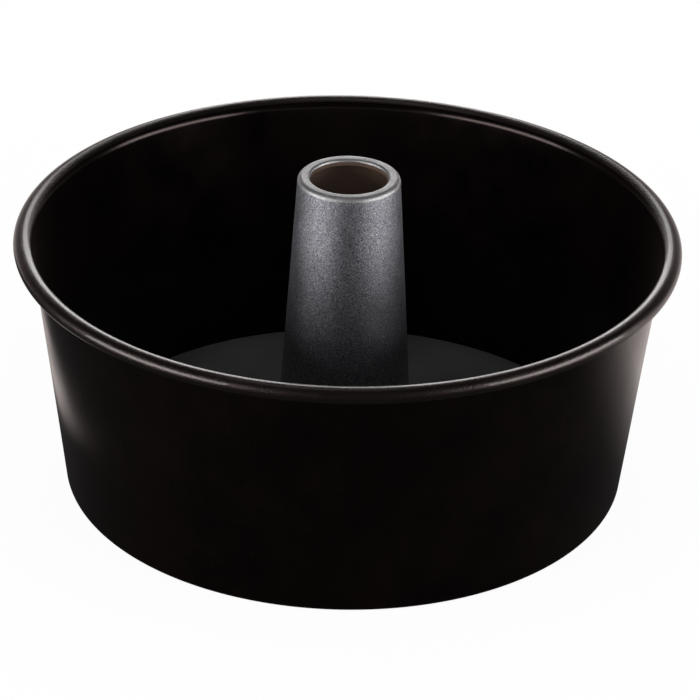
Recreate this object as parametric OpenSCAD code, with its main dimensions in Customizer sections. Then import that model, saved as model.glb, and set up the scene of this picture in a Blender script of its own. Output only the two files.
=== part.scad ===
// Angel food cake pan with a loose base.
// A seamless tapered wall carries a rolled rim and an inward ledge. A flat plate with a tall hollow
// tube crimped to its centre drops in from above, rests on the ledge and lifts out with the cake.
// The origin is the centre of the pan at the height of the table, with +Z up.

/* [Pan wall] */
// Outside diameter over the rolled rim
rim_d = 265; // [250:1:290]
// Height from the table to the top of the rim
pan_h = 107; // [80:1:130]
// Outside diameter of the wall where its slope meets the table
base_d = 226.5; // [210:0.5:240]
// Thickness of the wall's sheet steel
wall_t = 0.8; // [0.6:0.1:1.2]
// Outside radius of the bend between the wall and the ledge
corner_r = 2.4; // [1.8:0.1:4]

/* [Rolled rim] */
// Diameter of the rolled bead round the top
bead_d = 6.4; // [5:0.1:9]
// Room between the wall and the roll, which sets how widely the wall turns out at its top
roll_gap = 0.8; // [0.4:0.1:2]
// Radial play of the stiffening wire inside the roll
wire_gap = 0.1; // [0.05:0.05:0.3]

/* [Ledge] */
// Width of the ledge, from the wall's foot inwards
ledge_w = 9; // [7:0.5:14]
// Width of the folded hem that the plate rests on
hem_w = 4; // [2.5:0.5:5]

/* [Base plate] */
// Thickness of the loose plate
plate_t = 1; // [0.6:0.1:2]
// Radial clearance between the plate's edge and the wall
plate_gap = 0.6; // [0.4:0.1:1]

/* [Centre tube] */
// How far the tube stands above the rim, so that the pan can cool upside down
tube_rise = 23.5; // [10:0.5:40]
// Outside diameter of the tube where it leaves the plate
tube_base_d = 56.6; // [50:0.2:70]
// Outside diameter that the tube's slope reaches at its top
tube_top_d = 40.6; // [36:0.2:48]
// Thickness of the tube's sheet steel
tube_t = 0.8; // [0.6:0.1:1]
// Outside radius of the shoulder that turns the tube in to its mouth
shoulder_r = 2; // [1.5:0.1:2.4]
// Width of the lip, from the tube's slope in to the round mouth that fits over a bottle's neck
lip_w = 4.8; // [4:0.1:8]
// Outside radius of the bend at the edge of the mouth
mouth_edge_r = 1.2; // [1.1:0.1:1.4]
// Depth to which the mouth's edge is turned down
mouth_drop = 2.6; // [2:0.1:6]
// Radius of the bead rolled into the tube above the plate
lock_r = 1.2; // [1.1:0.1:2]
// How far the crimped flange reaches out under the plate
flange_w = 4; // [3:0.5:8]
// Inside radius of the bend between the tube and its flange
crimp_r = 0.4; // [0.3:0.1:0.5]
// Play between the plate's centre hole and the crimped bend
hole_gap = 0.1; // [0.05:0.05:0.2]

/* [Hidden] */
$fn = 180;
// Widest step along a bend of the sheet, in degrees
arc_step = 10;

// Rolled rim: the wall turns out on a wide bend, and from its top on it is rolled tighter
bead_r = bead_d / 2;
curl_r = bead_r - wall_t;
curl_c = [rim_d / 2 - bead_r, pan_h - bead_r];
lead_in_r = bead_r + roll_gap;
lead_r = lead_in_r + wall_t;
lead_c = [curl_c.x, pan_h - lead_r];
foot = [base_d / 2, 0];
foot_to_lead = lead_c - foot;
wall_lean = atan2(foot_to_lead.x, foot_to_lead.y) - asin(lead_in_r / norm(foot_to_lead));
lead_start = 180 - wall_lean;
// The roll ends where it faces the wall squarely
curl_end = -180 - wall_lean;
wire_r = curl_r - wire_gap;

// Bottom corner, ledge and the hem's two layers, whose top is the plate's seat
corner_c = [foot.x - corner_r * (1 - sin(wall_lean)) / cos(wall_lean), corner_r];
ledge_r = foot.x - ledge_w;
seat_z = 2 * wall_t;

// Base plate
plate_top = seat_z + plate_t;
corner_in_r = corner_r - wall_t;
seat_reach = sqrt(pow(corner_in_r, 2) - pow(max(0, corner_r - seat_z), 2));
plate_r = corner_c.x + seat_reach - plate_gap;

// Centre tube: tube_lean is also the angle at which its outer face looks up
tube_top_z = pan_h + tube_rise;
tube_lean = atan((tube_base_d - tube_top_d) / 2 / (tube_top_z - plate_top));
mouth_r = tube_top_d / 2 - lip_w;
drop_z = tube_top_z - mouth_drop;
shoulder_c = [
    tube_top_d / 2 - shoulder_r * (1 - sin(tube_lean)) / cos(tube_lean),
    tube_top_z - shoulder_r
];
mouth_edge_c = [mouth_r + mouth_edge_r, tube_top_z - mouth_edge_r];
lock_c = on_tube(plate_top + lock_r);
groove_r = lock_r - tube_t;
crimp_c = on_tube(seat_z + crimp_r) + [crimp_r / cos(tube_lean), 0];
flange_r = crimp_c.x + flange_w;

// Point of the tube's sloping outer face at height z
function on_tube(z) = [tube_top_d / 2 + (tube_top_z - z) * tan(tube_lean), z];

function direction(angle) = [cos(angle), sin(angle)];

// Points of an arc about a centre, from one angle to another, without the first few if so asked
function arc(centre, radius, from, to, skipped = 0) =
    let (steps = ceil(abs(to - from) / arc_step))
    [for (i = [skipped:steps]) centre + radius * direction(from + (to - from) * i / steps)];

// Both faces of the wall's sheet: up the outside and round the roll, then back down the inside
function wall_outline() = concat(
    arc(corner_c, corner_r, -90, -wall_lean),
    arc(lead_c, lead_in_r, lead_start, 90),
    arc(curl_c, curl_r, 90, curl_end, 1),
    arc(curl_c, bead_r, curl_end, 90),
    arc(lead_c, lead_r, 90, lead_start, 1),
    arc(corner_c, corner_in_r, -wall_lean, -90),
    [[ledge_r + hem_w, wall_t], [ledge_r + hem_w, seat_z]],
    arc([ledge_r + wall_t, wall_t], wall_t, 90, 270)
);

// Outer face of the tube's sheet, from the flange up and over into the mouth
function tube_outside() = concat(
    [[flange_r, seat_z]],
    arc(crimp_c, crimp_r, 270, 180 + tube_lean),
    arc(lock_c, lock_r, tube_lean - 90, tube_lean + 90),
    arc(shoulder_c, shoulder_r, tube_lean, 90),
    arc(mouth_edge_c, mouth_edge_r, 90, 180),
    [[mouth_r, drop_z]]
);

// Inner face of the tube's sheet, from the mouth back down to the flange
function tube_inside() = concat(
    [[mouth_r + tube_t, drop_z]],
    arc(mouth_edge_c, mouth_edge_r - tube_t, 180, 90),
    arc(shoulder_c, shoulder_r - tube_t, 90, tube_lean),
    [groove_foot(90)],
    arc(lock_c, groove_r, tube_lean + 90, tube_lean - 90),
    [groove_foot(-90)],
    arc(crimp_c, crimp_r + tube_t, 180 + tube_lean, 270),
    [[flange_r, seat_z - tube_t]]
);

// Where the groove behind the locking bead meets the tube's inner face, above or below it
function groove_foot(side) =
    lock_c - tube_t * direction(tube_lean) + groove_r * direction(tube_lean + side);

// Tapered outer wall with its rolled rim above and its hemmed ledge below
module pan_wall() {
    color("#231a19")
        rotate_extrude()
            polygon(wall_outline());
}

// Steel wire that the rim is rolled round
module rim_wire() {
    color("silver")
        rotate_extrude()
            translate(curl_c)
                circle(r = wire_r, $fn = 48);
}

// Loose flat plate that lies on the ledge
module base_plate() {
    color("#38383a")
        translate([0, 0, seat_z])
            difference() {
                cylinder(h = plate_t, r = plate_r);
                translate([0, 0, -plate_t])
                    cylinder(h = 3 * plate_t, r = crimp_c.x + hole_gap);
            }
}

// Tall hollow tube, crimped to the plate below and turned in to a round mouth above
module centre_tube() {
    color("#66666c")
        rotate_extrude()
            polygon(concat(tube_outside(), tube_inside()));
}

pan_wall();
rim_wire();
base_plate();
centre_tube();
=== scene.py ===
# Angel food cake pan: dark tapered wall with a rolled rim, loose charcoal plate, grey flecked tube.
import bpy
from math import asin, atan, atan2, ceil, cos, degrees, hypot, pi, radians, sin, sqrt, tan
from mathutils import Matrix, Vector, noise


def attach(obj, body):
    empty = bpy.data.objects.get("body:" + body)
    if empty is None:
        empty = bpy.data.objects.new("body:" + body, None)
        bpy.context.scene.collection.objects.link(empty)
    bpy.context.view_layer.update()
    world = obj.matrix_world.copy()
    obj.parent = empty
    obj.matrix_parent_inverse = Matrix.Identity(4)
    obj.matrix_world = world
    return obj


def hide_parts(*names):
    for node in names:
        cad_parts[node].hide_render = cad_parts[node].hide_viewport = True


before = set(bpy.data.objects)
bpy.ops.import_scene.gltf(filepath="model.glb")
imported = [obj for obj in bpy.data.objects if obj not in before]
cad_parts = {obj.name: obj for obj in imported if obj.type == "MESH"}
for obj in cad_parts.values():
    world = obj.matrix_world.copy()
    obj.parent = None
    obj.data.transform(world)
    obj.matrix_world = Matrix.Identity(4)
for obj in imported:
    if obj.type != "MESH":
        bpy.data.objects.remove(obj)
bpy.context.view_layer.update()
mm = 0.001

# camera, at the height and lean of the packshot
viewSettings = {
    "target": (0.0018, 0.0, 0.0528),  # point the lens looks at, near the pan's axis
    "distance": 1.4113,  # metres
    "elevation": 28.41,  # degrees above the table
    "roll": 1.25,
    "lens": 179.5,  # millimetres, like the width of the sensor
    "sensor": 36,
    "farthest": 20,  # metres
}


def addCamera(v):
    data = bpy.data.cameras.new("packshotLens")
    data.lens = v["lens"]
    data.sensor_width = v["sensor"]
    data.clip_end = v["farthest"]
    camera = bpy.data.objects.new("packshotCamera", data)
    bpy.context.scene.collection.objects.link(camera)
    tilt = Matrix.Rotation(radians(90 - v["elevation"]), 4, "X")
    turn = tilt @ Matrix.Rotation(radians(v["roll"]), 4, "Z")
    back = Vector((0, -cos(radians(v["elevation"])), sin(radians(v["elevation"]))))
    camera.matrix_world = Matrix.Translation(Vector(v["target"]) + back * v["distance"]) @ turn
    bpy.context.scene.camera = camera


addCamera(viewSettings)
print("camera placed")

sharpBend = 35  # degrees from which an edge of a mesh stays crisp
roundedShare = 0.3  # how far a rounded corner's middle lies inside its sharp one, in radii


# outlines are lists of (radius, height) in millimetres, going round the sheet anticlockwise
def arc(centre, radius, start, end, step):
    # start, end and step are in degrees
    count = max(1, ceil(abs(end - start) / step))
    turns = [radians(start + (end - start) * i / count) for i in range(count + 1)]
    return [(centre[0] + radius * cos(a), centre[1] + radius * sin(a)) for a in turns]


def straight(a, b, count):
    # points that part the way from a to b into count steps, with a and b left out
    out = b[0] - a[0]
    up = b[1] - a[1]
    return [(a[0] + out * i / count, a[1] + up * i / count) for i in range(1, count)]


def spin(name, bands, sides, bend=None):
    # bands: lists of points with the slot number of their material; bend moves a point off true round
    points = [(r, z, slotNumber) for band, slotNumber in bands for r, z in band]
    rows = len(points)
    verts = []
    for i in range(sides):
        a = 2 * pi * i / sides
        for r, z, _ in points:
            reach = r + (bend(a, z) if bend else 0)
            verts.append((reach * cos(a) * mm, reach * sin(a) * mm, z * mm))
    faces = []
    slots = []
    for i in range(sides):
        here = i * rows
        there = (i + 1) % sides * rows
        for j in range(rows):
            k = (j + 1) % rows
            faces.append((here + j, there + j, there + k, here + k))
            slots.append(points[j][2])
    mesh = bpy.data.meshes.new(name)
    mesh.from_pydata(verts, [], faces)
    mesh.polygons.foreach_set("material_index", slots)
    mesh.polygons.foreach_set("use_smooth", [True] * len(faces))
    mesh.set_sharp_from_angle(angle=radians(sharpBend))
    mesh.update()
    piece = bpy.data.objects.new(name, mesh)
    bpy.context.scene.collection.objects.link(piece)
    return piece


def dress(piece, materials, body, node):
    for material in materials:
        piece.data.materials.append(material)
    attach(piece, body)
    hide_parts(node)


# node shorthand: a value for an input is another node's output or a plain number, colour or place
def feed(tree, socket, value):
    if isinstance(value, bpy.types.NodeSocket):
        tree.links.new(value, socket)
    else:
        socket.default_value = value


def fill(tree, node, inputs):
    for name, value in inputs.items():
        feed(tree, node.inputs[name], value)


def addNode(tree, kind, x, y, inputs=None):
    node = tree.nodes.new(kind)
    node.location = (x, y)
    fill(tree, node, inputs or {})
    return node


def emptyMaterial(name):
    material = bpy.data.materials.new(name)
    material.use_nodes = True
    material.node_tree.nodes.clear()
    return material, material.node_tree


def newCoat(name):
    # a material with one shader, and the place on the piece that its noises follow
    material, tree = emptyMaterial(name)
    shader = addNode(tree, "ShaderNodeBsdfPrincipled", 400, 0)
    addNode(tree, "ShaderNodeOutputMaterial", 700, 0, {"Surface": shader.outputs["BSDF"]})
    place = addNode(tree, "ShaderNodeTexCoord", -1200, 0).outputs["Object"]
    return material, tree, shader, place


def cloud(tree, place, x, y, scale, detail, roughness):
    inputs = {"Vector": place, "Scale": scale, "Detail": detail, "Roughness": roughness}
    return addNode(tree, "ShaderNodeTexNoise", x, y, inputs).outputs["Fac"]


def between(tree, value, x, y, low, high, first, last):
    # stretches low..high of value to first..last
    inputs = {"Value": value, "From Min": low, "From Max": high, "To Min": first, "To Max": last}
    return addNode(tree, "ShaderNodeMapRange", x, y, inputs).outputs["Result"]


def colours(tree, value, x, y, stops, tones):
    # one tone below the first stop of value and another above the second, with a blend between
    ramp = addNode(tree, "ShaderNodeValToRGB", x, y, {"Fac": value})
    for element, stop, tone in zip(ramp.color_ramp.elements, stops, tones):
        element.position = stop
        element.color = (*tone, 1)
    return ramp.outputs["Color"]


def over(tree, share, x, y, under, top):
    # lays the colour top over the colour under, as far as share says; sockets 6 and 7 are the colours
    node = addNode(tree, "ShaderNodeMix", x, y)
    node.data_type = "RGBA"
    feed(tree, node.inputs[0], share)
    feed(tree, node.inputs[6], under)
    feed(tree, node.inputs[7], (*top, 1))
    return node.outputs[2]


def operate(tree, family, kind, x, y, values):
    node = addNode(tree, family, x, y)
    node.operation = kind
    for socket, value in zip(node.inputs, values):
        feed(tree, socket, value)
    return node.outputs["Value"]


def mathNode(tree, kind, x, y, *values):
    return operate(tree, "ShaderNodeMath", kind, x, y, values)


def vectorNode(tree, kind, x, y, *values):
    return operate(tree, "ShaderNodeVectorMath", kind, x, y, values)


def bump(tree, height, x, y, distance, strength=1.0, under=None):
    inputs = {"Height": height, "Distance": distance, "Strength": strength}
    node = addNode(tree, "ShaderNodeBump", x, y, inputs)
    if under is not None:
        feed(tree, node.inputs["Normal"], under)
    return node.outputs["Normal"]


# what the coatings share: every noise below is given as its scale, detail and roughness
commonFinish = {
    "noiseSpan": (0.3, 0.7),  # where nearly all values of a noise lie
    "patches": (170.0, 5.0, 0.7),
    "patchSpan": (0.42, 0.66),
    "leastWear": 0.05,  # share of the wear that is left between the patches
}


def uneven(tree, value, x, y, roughness, less, more):
    # a roughness that wanders with a noise
    return between(tree, value, x, y, *commonFinish["noiseSpan"], roughness - less, roughness + more)


def rubbedEdges(tree, place, edges, c):
    # patchy wear along turned edges, each given as (radius, height) in millimetres
    split = addNode(tree, "ShaderNodeSeparateXYZ", -2200, -700, {"Vector": place}).outputs
    level = addNode(tree, "ShaderNodeCombineXYZ", -2050, -700, {"X": split["X"], "Y": split["Y"]})
    radius = vectorNode(tree, "LENGTH", -1900, -700, level.outputs[0])
    spot = addNode(tree, "ShaderNodeCombineXYZ", -1750, -700, {"X": radius, "Z": split["Z"]})
    nearest = None
    for i, (r, z) in enumerate(edges):
        y = -700 - 170 * i
        away = vectorNode(tree, "DISTANCE", -1600, y, spot.outputs[0], (r * mm, 0, z * mm))
        nearest = away if nearest is None else mathNode(tree, "MINIMUM", -1450, y, nearest, away)
    close = between(tree, nearest, -1250, -700, 0, c["wearReach"] * mm, 1, 0)
    blotches = cloud(tree, place, -1450, -1000, *commonFinish["patches"])
    span = commonFinish["patchSpan"]
    patches = between(tree, blotches, -1250, -1000, *span, commonFinish["leastWear"], 1)
    rubbed = mathNode(tree, "MULTIPLY", -1050, -800, close, patches)
    return mathNode(tree, "MULTIPLY", -850, -800, rubbed, c["wear"])


# brown-black coating of the pan: satin on the wall, with a harder gloss under a clear coat on the rolled
# rim, and inside the tube a brown made far lighter than the coating, as painted light
darkCoat = {
    "wall": {
        "deep": (0.0004, 0.0002, 0.0002),
        "warm": (0.0026, 0.0013, 0.0011),
        "fleck": 1.9,  # how much brighter than the warm tone a fleck is
        "roughness": 0.21,
        "specular": 0.30,
        "clear": 0.0,
        "sheen": 0.015,
        "grainHeight": 0.00002,  # metres
    },
    "rim": {
        "deep": (0.0008, 0.0005, 0.0005),
        "warm": (0.0045, 0.0026, 0.0022),
        "fleck": 2.8,
        "roughness": 0.33,
        "specular": 0.50,
        "clear": 0.38,
        "sheen": 0.0,
        "grainHeight": 0.00020,
    },
    # the tube's inner brown is its coating made much lighter, painted light that stands in for the light
    # that barely gets inside the tube
    "borePaintedLight": {
        "deep": (0.090, 0.058, 0.043),
        "warm": (0.160, 0.108, 0.082),
        "fleck": 1.2,
        "roughness": 0.40,
        "specular": 0.30,
        "clear": 0.0,
        "sheen": 0.0,
        "grainHeight": 0.00003,
    },
    "mottle": (34.0, 5.0, 0.6),
    "mottleStops": (0.34, 0.72),  # where the deep and the warm tone lie in the mottle
    "grain": (1500.0, 2.0, 0.5),
    "grainStrength": 0.8,
    "fleckSpan": (0.54, 0.72),  # where flecks show in the grain
    "fleckMost": 0.7,
    "peel": (210.0, 3.0, 0.5),  # the faint waviness of a sprayed coat
    "peelHeight": 0.00006,
    "peelStrength": 0.30,
    "less": 0.04,  # how far the roughness wanders below its value
    "more": 0.05,  # and above it
    "clearRoughness": 0.05,
    "sheenRoughness": 0.4,
    "warmTint": (1.0, 0.80, 0.76),  # of the sheen and of plain reflections
    "rubbed": (0.105, 0.088, 0.082),
    "scuffed": 0.3,  # how much rougher a fully rubbed spot is
    "wear": 0.45,  # share of the coating's colour that rubbing takes at most
    "wearReach": 1.3,  # millimetres
}


def makeDarkCoat(name, c, kind, edges):
    material, tree, shader, place = newCoat(name)
    tones = c[kind]
    mottle = cloud(tree, place, -900, 300, *c["mottle"])
    grain = cloud(tree, place, -900, 0, *c["grain"])
    peel = cloud(tree, place, -900, -300, *c["peel"])
    tone = colours(tree, mottle, -600, 300, c["mottleStops"], (tones["deep"], tones["warm"]))
    fleck = between(tree, grain, -600, 60, *c["fleckSpan"], 0, c["fleckMost"])
    flecked = over(tree, fleck, -300, 300, tone, tuple(v * tones["fleck"] for v in tones["warm"]))
    worn = rubbedEdges(tree, place, edges, c)
    satin = uneven(tree, mottle, -600, -120, tones["roughness"], c["less"], c["more"])
    scuffed = mathNode(tree, "MULTIPLY", -600, -500, worn, c["scuffed"])
    waves = bump(tree, peel, -300, -300, c["peelHeight"], c["peelStrength"])
    fill(tree, shader, {
        "Base Color": over(tree, worn, -100, 300, flecked, c["rubbed"]),
        "Roughness": mathNode(tree, "ADD", -300, -120, satin, scuffed),
        "Normal": bump(tree, grain, 0, -300, tones["grainHeight"], c["grainStrength"], waves),
        "Specular IOR Level": tones["specular"],
        "Specular Tint": (*c["warmTint"], 1),
        "Coat Weight": tones["clear"],
        "Coat Roughness": c["clearRoughness"],
        "Sheen Weight": tones["sheen"],
        "Sheen Roughness": c["sheenRoughness"],
        "Sheen Tint": (*c["warmTint"], 1),
    })
    return material


# gunmetal coating with a metallic fleck, less grainy on the turned lip, where lighter tones are a painted
# highlight of the light that falls on the tube's top
greyFleck = {
    "tube": {
        "dark": (0.140, 0.146, 0.180),
        "light": (0.580, 0.572, 0.610),
        "spark": (0.95, 0.94, 0.95),
        "sparkle": 0.65,
        "roughness": 0.44,
        "grainHeight": 0.00018,  # metres
    },
    # the lip's lighter tones are painted highlight: the same coating as the tube, lightened where its top
    # faces the light
    "lip": {
        "dark": (0.320, 0.318, 0.326),
        "light": (0.620, 0.618, 0.626),
        "spark": (0.95, 0.95, 0.95),
        "sparkle": 0.4,
        "roughness": 0.54,
        "grainHeight": 0.00007,
    },
    "metal": 1.0,
    "grain": (2300.0, 2.0, 0.6),
    "grainStops": (0.38, 0.64),  # where the dark and the light tone lie in the grain
    "flakes": 2300.0,  # scale of the cells that the sparks are picked from
    "sparkSpan": (0.76, 0.94),
    "shade": (120.0, 3.0, 0.5),
    "less": 0.04,
    "more": 0.05,
    "rubbed": (0.72, 0.72, 0.73),
    "polished": 0.12,  # how much smoother a fully rubbed spot is
    "wear": 0.6,
    "wearReach": 0.9,
}


def makeGreyFleck(name, c, kind, edges):
    material, tree, shader, place = newCoat(name)
    tones = c[kind]
    grain = cloud(tree, place, -900, 300, *c["grain"])
    shade = cloud(tree, place, -900, 60, *c["shade"])
    flakes = addNode(tree, "ShaderNodeTexVoronoi", -900, -240, {"Vector": place, "Scale": c["flakes"]})
    spark = between(tree, flakes.outputs["Color"], -600, -240, *c["sparkSpan"], 0, tones["sparkle"])
    tone = colours(tree, grain, -600, 300, c["grainStops"], (tones["dark"], tones["light"]))
    flecked = over(tree, spark, -300, 300, tone, tones["spark"])
    worn = rubbedEdges(tree, place, edges, c)
    satin = uneven(tree, shade, -600, 60, tones["roughness"], c["less"], c["more"])
    polished = mathNode(tree, "MULTIPLY", -600, -500, worn, c["polished"])
    fill(tree, shader, {
        "Base Color": over(tree, worn, -100, 300, flecked, c["rubbed"]),
        "Metallic": c["metal"],
        "Roughness": mathNode(tree, "SUBTRACT", -300, 60, satin, polished),
        "Normal": bump(tree, grain, -300, -300, tones["grainHeight"]),
    })
    return material


# matte charcoal coating of the loose plate
charcoal = {
    "dark": (0.0480, 0.0477, 0.0510),
    "light": (0.0800, 0.0790, 0.0825),
    "shade": (26.0, 4.0, 0.6),
    "shadeStops": (0.32, 0.70),  # where the dark and the light tone lie in the shade
    "roughness": 0.46,
    "less": 0.05,
    "more": 0.06,
    "grain": (1300.0, 2.0, 0.6),
    "grainHeight": 0.00003,
    "grainStrength": 0.4,
    "specular": 0.30,
    "rubbed": (0.090, 0.088, 0.088),
    "wear": 0.5,
    "wearReach": 1.0,
}


def makeCharcoal(name, c, edges):
    material, tree, shader, place = newCoat(name)
    shade = cloud(tree, place, -900, 300, *c["shade"])
    grain = cloud(tree, place, -900, 0, *c["grain"])
    tone = colours(tree, shade, -600, 300, c["shadeStops"], (c["dark"], c["light"]))
    worn = rubbedEdges(tree, place, edges, c)
    fill(tree, shader, {
        "Base Color": over(tree, worn, -100, 300, tone, c["rubbed"]),
        "Roughness": uneven(tree, shade, -600, -60, c["roughness"], c["less"], c["more"]),
        "Normal": bump(tree, grain, -300, -300, c["grainHeight"], c["grainStrength"]),
        "Specular IOR Level": c["specular"],
    })
    return material


# bare drawn wire, hidden inside the rolled rim
drawnWire = {
    "dull": (0.30, 0.295, 0.290),
    "bright": (0.58, 0.58, 0.59),
    "drawn": (420.0, 4.0, 0.6),
    "drawnHeight": 0.00003,  # metres
    "drawnStrength": 0.4,
    "roughness": (0.25, 0.42),
    "metal": 1.0,
    "stain": (0.16, 0.105, 0.075),  # heat and a little rust from the oven
    "stains": (45.0, 5.0, 0.65),
    "stainSpan": (0.5, 0.72),
    "stainMost": 0.6,
}


def makeDrawnWire(name, c):
    material, tree, shader, place = newCoat(name)
    span = commonFinish["noiseSpan"]
    drawn = cloud(tree, place, -900, 0, *c["drawn"])
    stains = cloud(tree, place, -900, 300, *c["stains"])
    stained = between(tree, stains, -600, 400, *c["stainSpan"], 0, c["stainMost"])
    tone = colours(tree, drawn, -600, 200, span, (c["dull"], c["bright"]))
    fill(tree, shader, {
        "Base Color": over(tree, stained, -300, 200, tone, c["stain"]),
        "Metallic": c["metal"],
        "Roughness": between(tree, drawn, -600, -60, *span, *c["roughness"]),
        "Normal": bump(tree, drawn, -300, -300, c["drawnHeight"], c["drawnStrength"]),
    })
    return material


# outer pan, sizes in millimetres
panWall = {
    "rimDiameter": 265.0,
    "height": 107.0,
    "footDiameter": 226.5,
    "sheet": 0.8,
    "cornerRadius": 2.4,
    "beadDiameter": 6.4,
    "rollGap": 0.8,  # room between the wall and the roll
    "coatEnd": 135.0,  # where the rim's gloss gives way to satin inside the pan, 90 being the top
    "ledgeWidth": 9.0,
    "hemWidth": 4.0,
    "hemRounding": 0.12,
    "waver": 0.10,  # how far the spun wall wanders off true round
    "waverRound": 2.2,  # larger for more waves on the way round
    "waverRise": 0.03,  # and for more on the way up
    "trueFoot": 7.2,  # height up to which the wall is true, and over which the waver then grows
    "trueRim": 10.7,  # depth under the rim over which the waver dies away
    "rows": 40,  # steps of the mesh up the straight wall
    "sides": 320,
}
seat = 2 * panWall["sheet"]  # height of the folded hem that the plate lies on


def wallShape(p):
    # centres of the roll, of the wide bend that leads into it and of the bottom corner, and the wall's lean
    beadRadius = p["beadDiameter"] / 2
    curl = (p["rimDiameter"] / 2 - beadRadius, p["height"] - beadRadius)
    leadIn = beadRadius + p["rollGap"]
    lead = (curl[0], p["height"] - leadIn - p["sheet"])
    foot = p["footDiameter"] / 2
    across = lead[0] - foot
    lean = degrees(atan2(across, lead[1]) - asin(leadIn / hypot(across, lead[1])))
    tuck = (1 - sin(radians(lean))) / cos(radians(lean))
    corner = (foot - p["cornerRadius"] * tuck, p["cornerRadius"])
    return curl, lead, corner, lean


def buildPanWall(p):
    curl, lead, corner, lean = wallShape(p)
    sheet = p["sheet"]
    beadRadius = p["beadDiameter"] / 2
    leadIn = beadRadius + p["rollGap"]
    ledge = p["footDiameter"] / 2 - p["ledgeWidth"]
    hemEnd = ledge + p["hemWidth"]
    rounding = p["hemRounding"]
    rollEnd = -180 - lean  # where the roll faces the wall squarely
    outerCorner = arc(corner, p["cornerRadius"], -90, -lean, step=8)
    leadUnder = arc(lead, leadIn, 180 - lean, 90, step=9)
    innerRoll = arc(curl, beadRadius - sheet, 90, rollEnd, step=9)
    outerRoll = arc(curl, beadRadius, rollEnd, 90, step=5)
    leadTop = arc(lead, leadIn + sheet, 90, p["coatEnd"], step=5)
    leadSide = arc(lead, leadIn + sheet, p["coatEnd"], 180 - lean, step=5)
    innerCorner = arc(corner, p["cornerRadius"] - sheet, -lean, -90, step=12)
    nose = arc((ledge + sheet, sheet), sheet, 90, 270, step=15)
    hem = [(hemEnd, sheet), (hemEnd, seat - rounding), (hemEnd - rounding, seat)]
    bands = [
        (outerCorner, 0),
        (straight(outerCorner[-1], leadUnder[0], p["rows"]), 0),
        (leadUnder + innerRoll[1:], 0),
        (outerRoll + leadTop[1:-1], 1),
        (leadSide, 0),
        (straight(leadSide[-1], innerCorner[0], p["rows"]), 0),
        (innerCorner + hem + nose, 0),
    ]

    def waver(a, z):
        # both faces of the sheet move as one, and it stays true at the rim and at the seat
        growing = min(1, max(0, (z - p["trueFoot"]) / p["trueFoot"]))
        fading = min(1, max(0, (p["height"] - z) / p["trueRim"]))
        spot = Vector((cos(a) * p["waverRound"], sin(a) * p["waverRound"], z * p["waverRise"]))
        return p["waver"] * growing * fading * noise.noise(spot)

    bend = p["cornerRadius"] * roundedShare
    edges = [
        (curl[0], p["height"]),
        (p["footDiameter"] / 2 - bend, bend),
        (ledge, sheet),
        (hemEnd, seat),
    ]
    piece = spin("panWallRolled", bands, p["sides"], waver)
    coats = [
        makeDarkCoat("brownBlackSatin", darkCoat, "wall", edges),
        makeDarkCoat("brownBlackRim", darkCoat, "rim", edges),
    ]
    dress(piece, coats, "pan", "pan_wall")
    print("wall spun, leaning", round(lean, 2), "degrees")


buildPanWall(panWall)

# loose plate and the tube crimped to it, sizes in millimetres
basePlate = {
    "thickness": 1.0,
    "clearance": 0.6,  # to the wall all round
    "edgeRadius": 0.3,
    "holePlay": 0.1,
    "rings": 12,  # steps of the mesh from the edge in to the hole
    "sides": 256,
}

centreTube = {
    "rise": 23.5,  # above the rim
    "footDiameter": 56.6,
    "topDiameter": 40.6,
    "sheet": 0.8,
    "shoulder": 2.0,
    "lipWidth": 4.8,
    "mouthEdge": 1.2,
    "mouthDrop": 2.6,
    "lockRadius": 1.2,
    "flangeWidth": 4.0,
    "crimpRadius": 0.4,
    "rowsOutside": 40,  # steps of the mesh up the tube
    "rowsInside": 30,
    "rings": 6,  # steps across the lip
    "sides": 192,
}

plateTop = seat + basePlate["thickness"]
tubeTop = panWall["height"] + centreTube["rise"]
tubeSpread = (centreTube["footDiameter"] - centreTube["topDiameter"]) / 2
tubeLean = degrees(atan(tubeSpread / (tubeTop - plateTop)))


def onTube(z):
    # radius of the tube's sloping outer face
    return centreTube["topDiameter"] / 2 + (tubeTop - z) * tan(radians(tubeLean))


def crimpCentre(t):
    z = seat + t["crimpRadius"]
    return (onTube(z) + t["crimpRadius"] / cos(radians(tubeLean)), z)


def buildBasePlate(p, wall, tube):
    wallCorner = wallShape(wall)[2]
    bend = wall["cornerRadius"] - wall["sheet"]
    reach = sqrt(bend ** 2 - max(0, wall["cornerRadius"] - seat) ** 2)
    edge = wallCorner[0] + reach - p["clearance"]
    hole = crimpCentre(tube)[0] + p["holePlay"]
    e = p["edgeRadius"]
    edgeUnder = arc((edge - e, seat + e), e, -90, 0, step=30)
    edgeTop = arc((edge - e, plateTop - e), e, 0, 90, step=30)
    holeTop = arc((hole + e, plateTop - e), e, 90, 180, step=30)
    holeUnder = arc((hole + e, seat + e), e, 180, 270, step=30)
    top = straight((edge - e, plateTop), (hole + e, plateTop), p["rings"])
    under = straight((hole + e, seat), (edge - e, seat), p["rings"])
    edges = [(edge, plateTop), (edge, seat), (hole, plateTop), (hole, seat)]
    bands = [(edgeUnder + edgeTop + top + holeTop, 0), (holeUnder + under, 1)]
    piece = spin("basePlateLoose", bands, p["sides"])
    coats = [
        makeCharcoal("charcoalMatte", charcoal, edges),
        makeDarkCoat("brownBlackUnder", darkCoat, "wall", edges),
    ]
    dress(piece, coats, "insert", "base_plate")
    print("plate cut,", round(edge * 2, 1), "mm across")


buildBasePlate(basePlate, panWall, centreTube)


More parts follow.
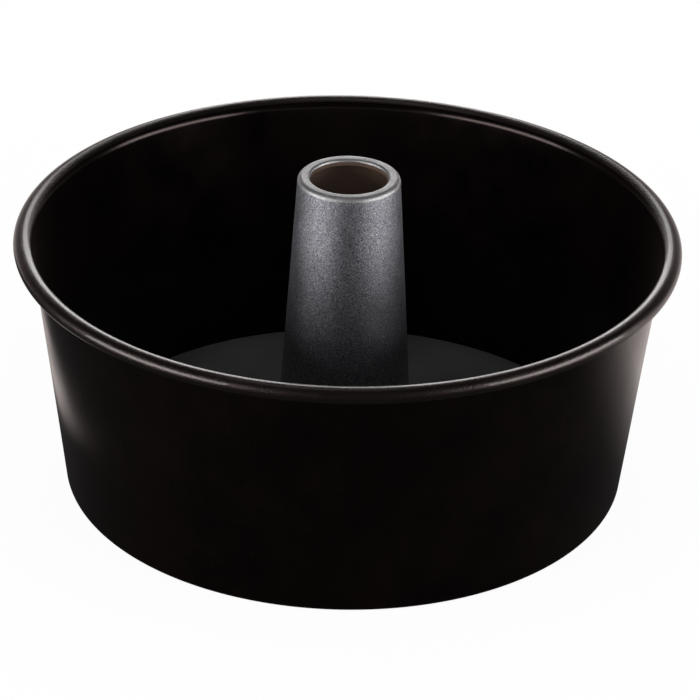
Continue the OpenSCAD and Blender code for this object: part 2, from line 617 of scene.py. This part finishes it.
def buildCentreTube(t):
    sheet = t["sheet"]
    lean = radians(tubeLean)
    tuck = (1 - sin(lean)) / cos(lean)
    shoulder = (t["topDiameter"] / 2 - t["shoulder"] * tuck, tubeTop - t["shoulder"])
    mouth = t["topDiameter"] / 2 - t["lipWidth"]
    edge = (mouth + t["mouthEdge"], tubeTop - t["mouthEdge"])
    drop = tubeTop - t["mouthDrop"]
    lock = (onTube(plateTop + t["lockRadius"]), plateTop + t["lockRadius"])
    crimp = crimpCentre(t)
    flange = crimp[0] + t["flangeWidth"]
    crimpOut = arc(crimp, t["crimpRadius"], 270, 180 + tubeLean, step=15)
    lockOut = arc(lock, t["lockRadius"], tubeLean - 90, tubeLean + 90, step=10)
    shoulderOut = arc(shoulder, t["shoulder"], tubeLean, 90, step=6)
    mouthOut = arc(edge, t["mouthEdge"], 90, 180, step=9)
    mouthIn = arc(edge, t["mouthEdge"] - sheet, 180, 90, step=20)
    shoulderIn = arc(shoulder, t["shoulder"] - sheet, 90, tubeLean, step=12)
    lockIn = arc(lock, t["lockRadius"] - sheet, tubeLean + 90, tubeLean - 90, step=20)
    crimpIn = arc(crimp, t["crimpRadius"] + sheet, 180 + tubeLean, 270, step=10)
    inward = (-sheet * cos(lean), -sheet * sin(lean))
    grooveTop = (lockIn[0][0] + inward[0], lockIn[0][1] + inward[1])
    grooveEnd = (lockIn[-1][0] + inward[0], lockIn[-1][1] + inward[1])
    lip = straight(shoulderOut[-1], mouthOut[0], t["rings"])
    bands = [
        ([(flange, seat)] + crimpOut + lockOut, 0),
        (straight(lockOut[-1], shoulderOut[0], t["rowsOutside"]), 0),
        (shoulderOut + lip + mouthOut[:-2], 1),  # the lip's coating ends just inside the mouth
        (mouthOut[-2:] + [(mouth, drop), (mouth + sheet, drop)], 2),
        (mouthIn + shoulderIn, 2),
        (straight(shoulderIn[-1], grooveTop, t["rowsInside"]), 2),
        ([grooveTop] + lockIn + [grooveEnd] + crimpIn, 2),
        ([(flange, seat - sheet)], 2),
    ]
    ease = t["shoulder"] * roundedShare
    mouthEase = t["mouthEdge"] * roundedShare
    edges = [
        (t["topDiameter"] / 2 - ease, tubeTop - ease),
        (mouth + mouthEase, tubeTop - mouthEase),
        (mouth, drop),
        (lock[0] + t["lockRadius"], lock[1]),
        (flange, seat - sheet),
    ]
    piece = spin("centreTubeTall", bands, t["sides"])
    coats = [
        makeGreyFleck("gunmetalFleck", greyFleck, "tube", edges),
        # the lip's coating is lighter as a painted highlight of the light on the tube's top
        makeGreyFleck("gunmetalLipPaintedHighlight", greyFleck, "lip", edges),
        # the brown inside is painted light: lighter than the coating, for the dim inside of the tube
        makeDarkCoat("brownInsidePaintedLight", darkCoat, "borePaintedLight", edges),
    ]
    dress(piece, coats, "insert", "centre_tube")
    print("tube drawn,", round(tubeTop, 1), "mm tall")


buildCentreTube(centreTube)

wireSteel = makeDrawnWire("drawnWireSteel", drawnWire)
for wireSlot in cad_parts["rim_wire"].material_slots:
    wireSlot.material = wireSteel
print("wire finished")

# table, light and air, lengths in metres
studio = {
    "tableHalf": 4.0,  # from the table's middle to its edges
    "tableDrop": 0.0001,  # how far it lies under the pan's foot
    "tableTone": (0.045, 0.92),  # as light and reflections find it, and as the camera sees it
    "seenLift": 0.95,  # share of plain white that the camera sees on the table
    "mirroredLift": 0.85,  # and that reflections see there, behind the pan
    "liftFrom": (0.03, 0.15),  # way behind the pan's axis over which the table's reflection brightens
    "liftSkew": 0.5,  # how much it also brightens towards the right
    "liftBend": 2.7,  # power that holds it dim at first
    "stripAt": -0.153,  # pale strip on the table left of the pan, along X
    "stripEdge": (0.003, 0.014),  # half its width, without and with its soft edge
    "stripFlare": -0.12,  # how it widens towards the back
    "stripFrom": (-0.10, 0.035),  # way along Y over which it brightens
    "stripBend": 3.0,
    "mirroredTint": (1.0, 0.89, 0.86),  # warmth of the room and the table in reflections
    "dimUp": (0.12, 0.50),  # upward share of a reflection's direction over which the room dims
    "dimTones": (1.0, 0.05),  # share of the room's light before and after that
    "paleBack": (0.66, 0.92),  # backward share over which it gets pale
    "paleTones": (0.05, 0.62),
    "air": 0.60,  # even light from all round, which reflections don't find
    "lamps": [
        # name, place, aim, width, height, watts
        ("softboxLeft", (-0.86, -0.47, 0.29), (0, 0, 0.22), 0.95, 0.43, 7.6),
        ("softboxRight", (0.92, -0.34, 0.29), (0, 0, 0.22), 0.95, 0.43, 7.6),
        ("cardBehind", (0.0, 0.70, 0.28), (0, 0, 0.10), 0.22, 0.50, 1.1),
        ("softboxAbove", (-0.12, 0.20, 1.30), (0, 0, 0.05), 0.60, 0.40, 0.4),
    ],
}


def rays(tree):
    # whether a ray comes from the camera, and whether it is a reflection or passes through glass
    path = addNode(tree, "ShaderNodeLightPath", -1300, 0).outputs
    mirrored = mathNode(tree, "MAXIMUM", -1100, -100, path["Is Glossy Ray"], path["Is Transmission Ray"])
    return path["Is Camera Ray"], mirrored


def warmed(tree, mirrored, tint):
    # plain white, but with a tint in reflections
    parts = {}
    for k, (channel, value) in enumerate(zip(("Red", "Green", "Blue"), tint)):
        parts[channel] = between(tree, mirrored, -600, -1100 - 200 * k, 0, 1, 1, value)
    return addNode(tree, "ShaderNodeCombineColor", -400, -1100, parts).outputs["Color"]


def paleStrip(tree, along, back, s):
    # strip on the table that flares and brightens towards the back
    beside = mathNode(tree, "SUBTRACT", -1050, -700, along, s["stripAt"])
    aside = mathNode(tree, "ABSOLUTE", -900, -700, beside)
    flared = mathNode(tree, "MULTIPLY_ADD", -750, -700, back, s["stripFlare"], aside)
    across = between(tree, flared, -600, -700, *s["stripEdge"], 1, 0)
    nearer = between(tree, back, -750, -900, *s["stripFrom"], 0, 1)
    bright = mathNode(tree, "POWER", -600, -900, nearer, s["stripBend"])
    return mathNode(tree, "MULTIPLY", -450, -700, across, bright)


def makePaleTable(name, s):
    # near white for the camera and dark otherwise, but with pale places in reflections
    material, tree = emptyMaterial(name)
    seen, mirrored = rays(tree)
    place = addNode(tree, "ShaderNodeTexCoord", -1300, -400).outputs["Object"]
    split = addNode(tree, "ShaderNodeSeparateXYZ", -1100, -400, {"Vector": place}).outputs
    along, back = split["X"], split["Y"]
    skewed = mathNode(tree, "MULTIPLY_ADD", -900, -400, along, s["liftSkew"], back)
    further = between(tree, skewed, -750, -400, *s["liftFrom"], 0, 1)
    cleared = mathNode(tree, "POWER", -600, -400, further, s["liftBend"])
    paler = mathNode(tree, "MAXIMUM", -450, -400, cleared, paleStrip(tree, along, back, s))
    behind = mathNode(tree, "MULTIPLY", -300, -400, paler, s["mirroredLift"])
    seenShare = mathNode(tree, "MULTIPLY", -700, 200, seen, s["seenLift"])
    mirroredShare = mathNode(tree, "MULTIPLY", -700, -200, mirrored, behind)
    share = mathNode(tree, "MAXIMUM", -500, 100, seenShare, mirroredShare)
    tone = between(tree, seen, -500, 300, 0, 1, *s["tableTone"])
    plain = addNode(tree, "ShaderNodeBsdfDiffuse", -300, 0, {"Color": tone})
    tint = warmed(tree, mirrored, s["mirroredTint"])
    lift = addNode(tree, "ShaderNodeEmission", -300, -200, {"Color": tint, "Strength": 1.0})
    mixed = addNode(tree, "ShaderNodeMixShader", 0, 0)
    for socket, value in zip(mixed.inputs, (share, plain.outputs[0], lift.outputs[0])):
        feed(tree, socket, value)
    addNode(tree, "ShaderNodeOutputMaterial", 300, 0, {"Surface": mixed.outputs[0]})
    return material


def layTable(s):
    half = s["tableHalf"]
    corners = [(-half, -half, 0), (half, -half, 0), (half, half, 0), (-half, half, 0)]
    mesh = bpy.data.meshes.new("tableTop")
    mesh.from_pydata(corners, [], [(0, 1, 2, 3)])
    mesh.materials.append(makePaleTable("paleTable", s))
    table = bpy.data.objects.new("tableTop", mesh)
    table.location.z = -s["tableDrop"]
    bpy.context.scene.collection.objects.link(table)


def fillRoom(s):
    world = bpy.data.worlds.new("whiteRoom")
    bpy.context.scene.world = world
    world.use_nodes = True
    tree = world.node_tree
    tree.nodes.clear()
    # reflections find the room pale low behind the pan, and dim overhead, at the sides and in front
    way = addNode(tree, "ShaderNodeTexCoord", -1300, -400).outputs["Generated"]
    split = addNode(tree, "ShaderNodeSeparateXYZ", -1100, -400, {"Vector": way}).outputs
    low = between(tree, split["Z"], -900, -300, *s["dimUp"], *s["dimTones"])
    behind = between(tree, split["Y"], -900, -600, *s["paleBack"], *s["paleTones"])
    room = mathNode(tree, "MULTIPLY", -700, -400, low, behind)
    seen, mirrored = rays(tree)
    shown = mathNode(tree, "MULTIPLY", -500, -200, mirrored, room)
    bright = mathNode(tree, "MAXIMUM", -300, 0, seen, shown)
    direct = mathNode(tree, "MAXIMUM", -500, 200, seen, mirrored)
    ambient = between(tree, direct, -300, 200, 0, 1, s["air"], 0)
    total = mathNode(tree, "ADD", 50, 100, bright, ambient)
    tint = warmed(tree, mirrored, s["mirroredTint"])
    air = addNode(tree, "ShaderNodeBackground", 200, 0, {"Color": tint, "Strength": total})
    addNode(tree, "ShaderNodeOutputWorld", 400, 0, {"Surface": air.outputs[0]})


def hangLamps(s):
    for name, place, aim, width, height, watts in s["lamps"]:
        data = bpy.data.lights.new(name, "AREA")
        data.shape = "RECTANGLE"
        data.size = width
        data.size_y = height
        data.energy = watts
        lamp = bpy.data.objects.new(name, data)
        lamp.location = place
        lamp.rotation_euler = (Vector(aim) - Vector(place)).to_track_quat("-Z", "Y").to_euler()
        lamp.visible_camera = False
        bpy.context.scene.collection.objects.link(lamp)


layTable(studio)
fillRoom(studio)
hangLamps(studio)
bpy.context.scene.view_settings.view_transform = "Standard"
print("studio lit")
